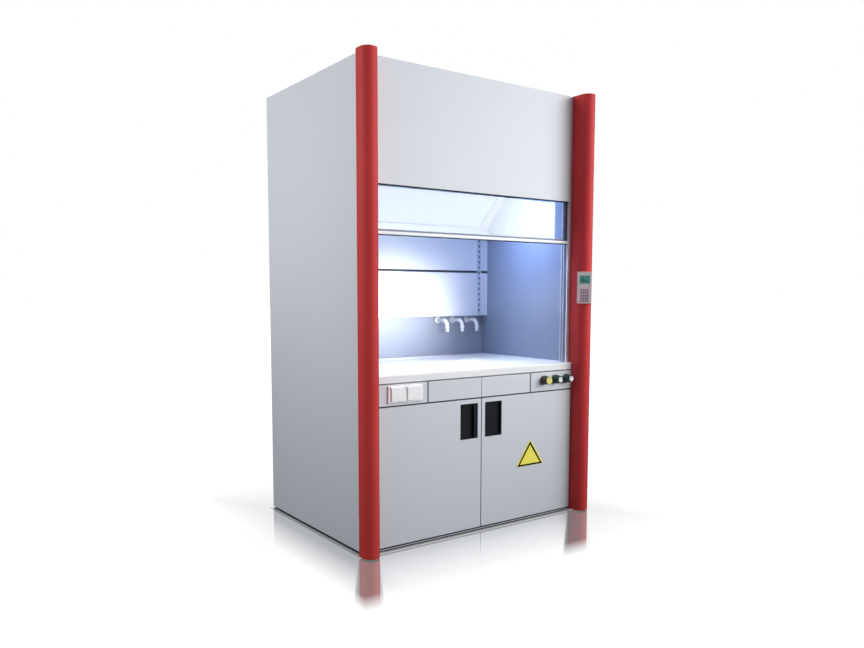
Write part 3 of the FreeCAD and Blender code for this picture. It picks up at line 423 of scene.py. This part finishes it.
def ring(shape, outer, inner, lift):
    """Raise the band between two outlines of as many points."""
    flat = Vector()
    rows = []
    for outline, rise in ((outer, flat), (outer, lift), (inner, lift), (inner, flat)):
        rows.append([shape.verts.new(Vector(point) + rise) for point in outline])
    for first, second in zip(rows, rows[1:] + rows[:1]):
        wrap(shape, first, second)


def arc(radius, start, end, steps):
    """Points on an arc about the origin; the angles are in degrees."""
    turns = [math.radians(start + (end - start) * step / steps) for step in range(steps + 1)]
    return [(radius * math.cos(turn), radius * math.sin(turn)) for turn in turns]


def front_of(node):
    """The front face of a turned plate: its centre and its right, outward and up axes."""
    steepest, forward, flat = 0.5, -0.1, 0.1 * MM
    mesh = nodes[node].data
    facing = [face for face in mesh.polygons
              if abs(face.normal.z) < steepest and face.normal.y < forward]
    out = max(facing, key=lambda face: face.area).normal.copy()
    up = Vector((0, 0, 1))
    points = [vertex.co for vertex in mesh.vertices]
    flush = max(point.dot(out) for point in points)
    front = [point for point in points if flush - point.dot(out) < flat]
    centre = sum(front, Vector()) / len(front)
    return centre, out.cross(up), out, up


# Added trim

def add_panel_seal(dark):
    """A bulb seal under the fixed front panel."""
    low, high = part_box("upper_front_panel")
    radius = (high.y - low.y) / 2
    middle = (low.y + high.y) / 2
    bulb_share, steps = 0.9, 10
    bulb = arc(radius * bulb_share, 0, -180, steps)
    outline = [(low.x, middle + y, low.z + z) for y, z in [(radius, 0), *bulb, (-radius, 0)]]
    shape = bmesh.new()
    prism(shape, outline, Vector((high.x - low.x, 0, 0)))
    finished("panel_seal", shape, dark, "cupboard")


def add_grip_lip(dark):
    """A soft lip under the grip rail, which meets the worktop when the sash is down."""
    end_play, front_inset, back_inset = 4 * MM, 4 * MM, 2 * MM
    drop, front_slant, back_slant = 3 * MM, 2 * MM, 4 * MM
    low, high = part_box("sash_handle")
    front = low.y + front_inset
    back = high.y - back_inset
    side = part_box("upper_front_panel")[1].x - end_play
    outline = [(-side, front, low.z), (-side, back, low.z),
               (-side, back - back_slant, low.z - drop),
               (-side, front + front_slant, low.z - drop)]
    shape = bmesh.new()
    prism(shape, outline, Vector((side * 2, 0, 0)))
    finished("grip_lip", shape, dark, "sash")


def add_groove_strips(grey):
    """A slim profile in the groove at each end of the plain fascia panels."""
    set_back, play_share = 2 * MM, 0.22
    low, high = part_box("fascia_blanks")
    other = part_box("fascia_right")[0]
    front = low.y + set_back
    for name, start, end in (("right", high.x, other.x), ("left", -other.x, -high.x)):
        play = (end - start) * play_share
        left, right = start + play, end - play
        outline = [(left, front, low.z), (right, front, low.z), (right, high.y, low.z),
                   (left, high.y, low.z)]
        shape = bmesh.new()
        prism(shape, outline, Vector((0, 0, high.z - low.z)))
        finished(f"groove_strip_{name}", shape, grey, "cupboard")


def add_glass_gasket(name, frame_node, glass_node, body, pale):
    """A gasket round the visible edge of a pane, in front of the glass."""
    bite, width, set_back = 8 * MM, 3.5 * MM, 0.6 * MM
    frame_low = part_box(frame_node)[0]
    glass_low, glass_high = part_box(glass_node)
    left, right = glass_low.x + bite, glass_high.x - bite
    bottom = max(glass_low.z + bite, frame_low.z)
    top = glass_high.z - bite
    face = frame_low.y + set_back

    def outline(inset):
        """The corners so far inside the visible edge."""
        return [(left + inset, face, bottom + inset), (right - inset, face, bottom + inset),
                (right - inset, face, top - inset), (left + inset, face, top - inset)]

    shape = bmesh.new()
    ring(shape, outline(0), outline(width), Vector((0, glass_low.y - face, 0)))
    finished(name, shape, pale, body)


def add_painted_slot_shade(dark):
    """Painted shade: dark plugs in the open slots of the upright and the leaning rails."""
    wide, tall, pitch, first, rows = 9 * MM, 18 * MM, 34 * MM, 26 * MM, 15
    across, depth, play = 617 * MM, 6 * MM, 0.2 * MM
    upright_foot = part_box("baffle_middle")[0]
    leaning_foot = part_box("baffle_slope")[0]
    shape = bmesh.new()
    # Each dark plug is painted shade inside an open slot.
    for height, lean in ((upright_foot.z, 0), (leaning_foot.z, 45)):
        turn = Matrix.Rotation(math.radians(lean), 3, "X")
        foot = Vector((0, upright_foot.y, height))
        lift = turn @ Vector((0, -depth, 0))
        for side in (-across, across):
            for row in range(rows):
                left, right = side - wide / 2 + play, side + wide / 2 - play
                bottom = first + pitch * row + play
                top = bottom + tall - play * 2
                corners = ((left, bottom), (right, bottom), (right, top), (left, top))
                prism(shape, [foot + turn @ Vector((x, -play, z)) for x, z in corners], lift)
    finished("painted_slot_shade_plugs", shape, dark, "cupboard")


def add_plate_border(dark):
    """The dark border of the triangular plate."""
    rim, border, rise = 1.5 * MM, 11 * MM, 0.4 * MM
    side_share, tip_share = 1.9, 2.1
    low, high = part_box("warning_plate")
    middle = (low.x + high.x) / 2

    def outline(inset):
        """The corners so far inside the plate's edge."""
        side = inset * side_share
        return [(low.x + side, low.y, low.z + inset), (high.x - side, low.y, low.z + inset),
                (middle, low.y, high.z - inset * tip_share)]

    shape = bmesh.new()
    ring(shape, outline(rim), outline(border), Vector((0, -rise, 0)))
    finished("plate_border", shape, dark, "door_right")


def add_keys(material):
    """Soft keys with rounded corners on the keypad foil."""
    columns, rows, pitch_across, pitch_up = 3, 4, 13 * MM, 16 * MM
    half_width, half_height, radius, rise = 4.6 * MM, 5.6 * MM, 2 * MM, 0.7 * MM
    corners, steps = ((1, 1), (-1, 1), (-1, -1), (1, -1)), 3
    centre, right, out, up = front_of("controller_keypad")
    shape = bmesh.new()
    for column in range(columns):
        for row in range(rows):
            middle = (centre + right * (column - (columns - 1) / 2) * pitch_across
                      + up * (row - (rows - 1) / 2) * pitch_up)
            outline = []
            for corner, (across, along) in enumerate(corners):
                base = (middle + right * across * (half_width - radius)
                        + up * along * (half_height - radius))
                for x, z in arc(radius, corner * 90, corner * 90 + 90, steps):
                    outline.append(base + right * x + up * z)
            prism(shape, outline, out * rise)
    finished("keypad_keys", shape, material, "cupboard")


def add_display_bars(material):
    """Plain bars of a level display, each taller than the one on its left."""
    bars, wide, pitch, rise = 7, 3.5 * MM, 6 * MM, 0.25 * MM
    first, step = 5 * MM, 3 * MM
    aside, below = 20.4 * MM, 14 * MM
    centre, right, out, up = front_of("controller_display")
    foot = centre - right * aside - up * below
    shape = bmesh.new()
    for bar in range(bars):
        left = foot + right * bar * pitch
        across = right * wide
        tall = up * (first + step * bar)
        prism(shape, [left, left + across, left + across + tall, left + tall], out * rise)
    finished("display_bars", shape, material, "cupboard")


def add_knob_marks(dark):
    """An index line on each knob's cap."""
    half, rim, rise = 1 * MM, 2 * MM, 0.3 * MM
    for number in (1, 2, 3):
        low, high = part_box(f"knob_cap_{number}")
        middle = (low + high) / 2
        left, right, top = middle.x - half, middle.x + half, high.z - rim
        outline = [(left, low.y, middle.z), (right, low.y, middle.z), (right, low.y, top),
                   (left, low.y, top)]
        shape = bmesh.new()
        prism(shape, outline, Vector((0, -rise, 0)))
        finished(f"knob_mark_{number}", shape, dark, f"knob_{number}")


def circle(radius, steps):
    """Evenly spaced points on a circle about the origin."""
    return arc(radius, 0, 360, steps)[:-1]


def screw(shape, place, out):
    """A domed screw head."""
    radius, steps = 4 * MM, 12
    dome = ((1.0, 0.0), (1.0, 0.12), (0.85, 0.32), (0.5, 0.46))
    out = Vector(out)
    side = out.orthogonal().normalized()
    other = out.cross(side)
    spokes = [side * x + other * y for x, y in circle(radius, steps)]
    rows = []
    for share, rise in dome:
        middle = Vector(place) + out * rise * radius
        rows.append([shape.verts.new(middle + spoke * share) for spoke in spokes])
    for lower, upper in zip(rows, rows[1:]):
        wrap(shape, lower, upper)
    shape.faces.new(rows[-1])
    shape.faces.new(reversed(rows[0]))


def add_rear_screws(steel):
    """A row of screws along each upright edge of the rear panel."""
    margin, end_margin, rows = 10 * MM, 100 * MM, 6
    low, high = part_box("rear_panel")
    pitch = (high.z - low.z - end_margin * 2) / (rows - 1)
    shape = bmesh.new()
    for side in (low.x + margin, high.x - margin):
        for row in range(rows):
            screw(shape, (side, high.y, low.z + end_margin + pitch * row), (0, 1, 0))
    finished("rear_screws", shape, steel, "cupboard")


def add_collar_screws(steel):
    """A ring of screws on the duct collar's flange."""
    margin, flange_thickness, count = 13 * MM, 3 * MM, 8
    low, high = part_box("exhaust_spigot")
    middle = (low + high) / 2
    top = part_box("roof_panel")[1].z + flange_thickness
    shape = bmesh.new()
    for x, y in circle((high.x - low.x) / 2 - margin, count):
        screw(shape, (middle.x + x, middle.y + y, top), (0, 0, 1))
    finished("collar_screws", shape, steel, "cupboard")


def add_trim():
    """The pieces that the carried solids are too coarse for."""
    dark = rubber("dark_rubber", srgb(34, 38, 48))
    ink = moulded("dark_print", srgb(14, 14, 16), 0.6, 0.7, specular=0.15)
    steel = brushed("screw_steel", srgb(168, 170, 174), (1, 1, 1))
    pale = rubber("pale_rubber", srgb(176, 180, 190))
    add_panel_seal(dark)
    add_grip_lip(dark)
    add_groove_strips(powder_coat("groove_grey", srgb(150, 154, 162)))
    add_glass_gasket("lower_gasket", "sash_frame", "sash_glass", "sash", pale)
    add_glass_gasket("upper_gasket", "upper_sash_frame", "upper_sash_glass", "upper_sash",
                     pale)
    add_plate_border(ink)
    add_painted_slot_shade(moulded("slot_shade", srgb(8, 10, 22), 0.6, 0.7, specular=0.1))
    add_keys(moulded("key_grey", srgb(196, 180, 188), 0.45, 0.55))
    add_display_bars(moulded("display_ink", srgb(26, 70, 66), 0.3, 0.4))
    add_knob_marks(ink)
    add_rear_screws(steel)
    add_collar_screws(steel)


# Surroundings

def make_floor():
    """A wide pale floor that the cupboard stands on."""
    span = 60
    mesh = bpy.data.meshes.new("floor")
    mesh.from_pydata([(-span, -span, 0), (span, -span, 0), (span, span, 0),
                      (-span, span, 0)], [], [(0, 1, 2, 3)])
    mesh.materials.append(floor_white("floor_white"))
    floor = bpy.data.objects.new("floor", mesh)
    bpy.context.scene.collection.objects.link(floor)


def floor_white(name):
    """White that keeps the object's shadow and mirrors what stands on it; its glow fades out
    at the case's edge, a painted contact shadow.
    """
    look = Look(name, roughness=0.6, specular=0.0)
    look.tone(look.noise(0.6, 2.0), srgb(112, 113, 115), 0.99, 1.0)
    x, y, _ = look.axes(look.where)
    beyond = beyond_case(look, x, y)
    seen = look.add("ShaderNodeLightPath").outputs["Is Camera Ray"]
    distance = look.add("ShaderNodeVectorMath", operation="LENGTH")
    look.link(look.where, distance.inputs[0])
    level = look.spread(distance.outputs["Value"], 0.9, 1.2, start=1.2, end=3.4)
    # Painted contact shadow: the camera-only glow fades out under the case's edge.
    outside = look.spread(beyond, 0.0, 1.0, start=-0.02, end=0.01)
    strength = look.math("MULTIPLY", look.math("MULTIPLY", level, outside), seen)
    glow = look.add("ShaderNodeEmission")
    look.link(strength, glow.inputs["Strength"])
    plain = look.add("ShaderNodeAddShader")
    look.link(look.shader.outputs[0], plain.inputs[0])
    look.link(glow.outputs[0], plain.inputs[1])
    mirror = look.add("ShaderNodeBsdfGlossy", Roughness=0.03)
    share = look.math("MULTIPLY", mirror_share(look, beyond, x, y), seen)
    polished = look.add("ShaderNodeMixShader")
    look.link(share, polished.inputs[0])
    look.link(plain.outputs[0], polished.inputs[1])
    look.link(mirror.outputs[0], polished.inputs[2])
    look.link(polished.outputs[0], look.tree.nodes["Material Output"].inputs["Surface"])
    return look.material


def beyond_case(look, x, y):
    """How far a floor point lies outside the case, counted faster beside it."""
    faster = 1.9
    high = cad_box[1]
    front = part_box("door_left")[0].y
    beside = look.math("SUBTRACT", look.math("ABSOLUTE", x), high.x)
    before = look.math("MAXIMUM", look.math("SUBTRACT", front, y),
                       look.math("SUBTRACT", y, high.y))
    return look.math("MAXIMUM", look.math("MULTIPLY", beside, faster), before)


def mirror_share(look, beyond, x, y):
    """Mirror share of the floor: weak before the doors, strong along each column."""
    weak = look.spread(beyond, 0.74, 0.0, start=0.03, end=0.5)
    strong = look.spread(beyond, 0.84, 0.0, start=0.42, end=0.56)
    beside = look.spread(x, 1.2, 1.0, start=-0.8, end=-0.75)
    share = look.math("MULTIPLY", weak, beside)
    soft = 0.02
    streaks = (("column_left", 0.608, 0.058), ("column_right", 1.08, 0.08))
    for name, slope, half in streaks:
        low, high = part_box(name)
        foot = (low + high) / 2
        along = look.math("MULTIPLY", look.math("SUBTRACT", y, foot.y), slope)
        off = look.math("SUBTRACT", look.math("SUBTRACT", x, foot.x), along)
        streak = look.spread(look.math("ABSOLUTE", off), 1.0, 0.0, start=half, end=half + soft)
        ahead = look.spread(y, 1.0, 0.0, start=foot.y, end=high.y)
        column = look.math("MULTIPLY", look.math("MULTIPLY", streak, ahead), strong)
        share = look.math("MAXIMUM", share, column)
    return share


def make_world():
    """White to the camera and in reflections, a soft pale light otherwise."""
    world = bpy.data.worlds.new("studio")
    bpy.context.scene.world = world
    world.use_nodes = True
    tree = world.node_tree
    soft = tree.nodes["Background"]
    soft.inputs["Color"].default_value = srgb(236, 240, 248)
    soft.inputs["Strength"].default_value = 0.36
    white = tree.nodes.new("ShaderNodeBackground")
    white.inputs["Color"].default_value = (1, 1, 1, 1)
    path = tree.nodes.new("ShaderNodeLightPath")
    seen = path.outputs["Is Camera Ray"]
    for kind in ("Is Transmission Ray", "Is Glossy Ray"):
        either = tree.nodes.new("ShaderNodeMath")
        either.operation = "MAXIMUM"
        tree.links.new(seen, either.inputs[0])
        tree.links.new(path.outputs[kind], either.inputs[1])
        seen = either.outputs[0]
    mix = tree.nodes.new("ShaderNodeMixShader")
    tree.links.new(seen, mix.inputs[0])
    tree.links.new(soft.outputs[0], mix.inputs[1])
    tree.links.new(white.outputs[0], mix.inputs[2])
    tree.links.new(mix.outputs[0], tree.nodes["World Output"].inputs["Surface"])


def area_light(name, place, target, size, power, colour=(1, 1, 1), spread=180,
               mirrored=True):
    """A rectangular lamp aimed at a point; its beam spreads over so many degrees.

    Reflections show the lamp only where it is mirrored.
    """
    lamp = bpy.data.lights.new(name, "AREA")
    lamp.shape = "RECTANGLE"
    lamp.size, lamp.size_y = size
    lamp.energy = power
    lamp.color = colour
    lamp.spread = math.radians(spread)
    item = bpy.data.objects.new(name, lamp)
    bpy.context.scene.collection.objects.link(item)
    item.location = place
    aim = Vector(target) - Vector(place)
    item.rotation_euler = aim.to_track_quat("-Z", "Y").to_euler()
    item.visible_camera = False
    item.visible_glossy = mirrored


def make_studio_lights():
    """A soft box that the sash mirrors, and fills before, behind and beside the case."""
    area_light("soft_box", place=(3.2, -4.6, 2.9), target=(-1.2, -0.4, 2.15),
               size=(6.0, 3.4), power=109, spread=90)
    area_light("front_fill", place=(1.6, -5.0, 2.3), target=(0.4, -0.5, 1.15),
               size=(1.0, 0.6), power=1.6, spread=32, mirrored=False)
    area_light("rear_fill", place=(2.5, 4.5, 3.4), target=(0, 0.5, 1.4),
               size=(3.0, 2.0), power=30, spread=90)
    area_light("side_fill", place=(-4.6, 1.2, 3.2), target=(-0.75, 0.1, 1.7),
               size=(3.0, 2.0), power=23, spread=65)


def make_chamber_lights():
    """The bluish lamp under the ceiling and the pools of light on walls and worktop."""
    low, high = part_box("lamp_unit")
    middle = (low + high) / 2
    below = 0.01
    blue = (0.4, 0.58, 1.0)
    white = (0.96, 0.98, 1.0)
    area_light("chamber_lamp", place=(middle.x, middle.y, low.z - below),
               target=(middle.x, middle.y + 0.3, 1.2), size=(1.15, 0.12), power=5.5,
               colour=blue)
    area_light("wall_wash", place=(0.3, -0.15, 1.95), target=(0.69, -0.1, 1.55),
               size=(0.3, 0.3), power=2.2, colour=blue, spread=70)
    area_light("rear_wash", place=(0.0, -0.35, 1.12), target=(-0.02, 0.32, 1.16),
               size=(0.5, 0.12), power=1.8, colour=white, spread=62)
    area_light("worktop_wash", place=(0, -0.2, 2.2), target=(0, -0.1, 0.8),
               size=(1.1, 0.3), power=3.4, colour=white, spread=45)


def make_camera():
    """The photograph's camera: place, turn, lens and framing shift."""
    down, aside = 5.22, 35.14
    camera = bpy.data.cameras.new("camera")
    camera.sensor_width = 36
    camera.lens = 31.686
    camera.shift_x = 0.0146
    camera.shift_y = 0.0456
    camera.clip_end = 200
    item = bpy.data.objects.new("camera", camera)
    bpy.context.scene.collection.objects.link(item)
    item.location = (-2.5327, -3.4979, 1.2449)
    item.rotation_euler = Euler((math.radians(90 - down), 0, math.radians(-aside)), "XYZ")
    bpy.context.scene.camera = item


dress_case()
dress_chamber()
dress_sash()
dress_fittings()
soften_edges()
add_trim()
make_floor()
make_world()
make_studio_lights()
make_chamber_lights()
make_camera()
bpy.context.scene.view_settings.view_transform = "Standard"
